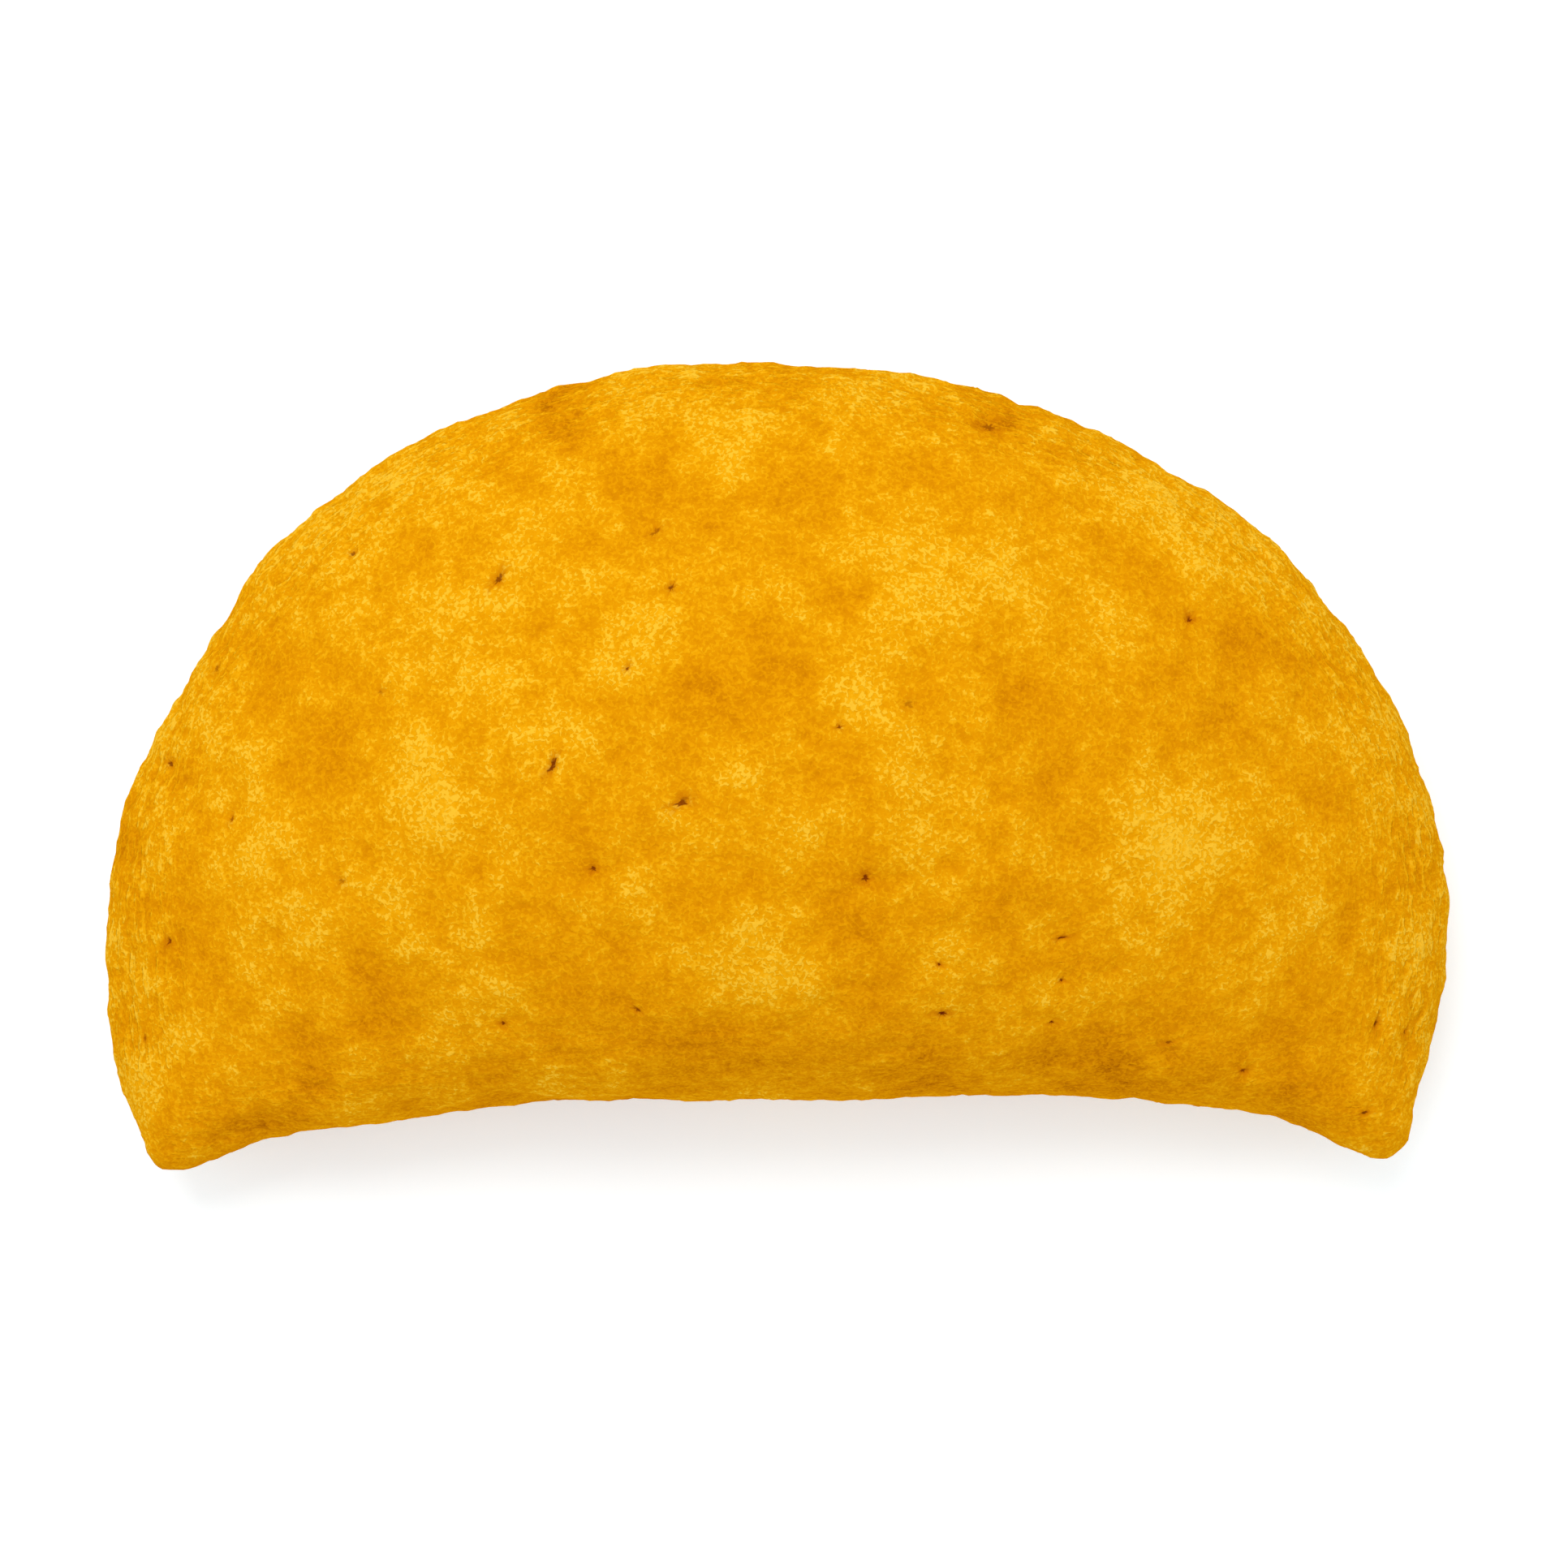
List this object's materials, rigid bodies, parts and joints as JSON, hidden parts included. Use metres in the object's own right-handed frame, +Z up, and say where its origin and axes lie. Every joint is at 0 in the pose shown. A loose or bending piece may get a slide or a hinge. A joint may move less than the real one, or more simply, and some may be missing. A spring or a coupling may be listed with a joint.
{
  "type": "empanada",
  "caption": "Fried corn-dough half-moon turnover with a plump uncut body, a rounded fold that curls to blunt tips, and a pressed seam along its arc. It lies on its belly.",
  "frame": {"origin": "centre of the footprint, on the surface that the belly rests on", "axes": "+X along the fold from tip to tip, +Y from the fold to the seam's arc, +Z up through the shown side"},
  "size_m": [0.1198, 0.072, 0.0332],
  "materials": {
    "fried_corn_crust": "golden fried corn crust, slightly oily, mottled pale and amber, fine grain with small steam holes"
  },
  "bodies": {
    "root": {"empanada": "fried_corn_crust"}
  },
  "joints": []
}
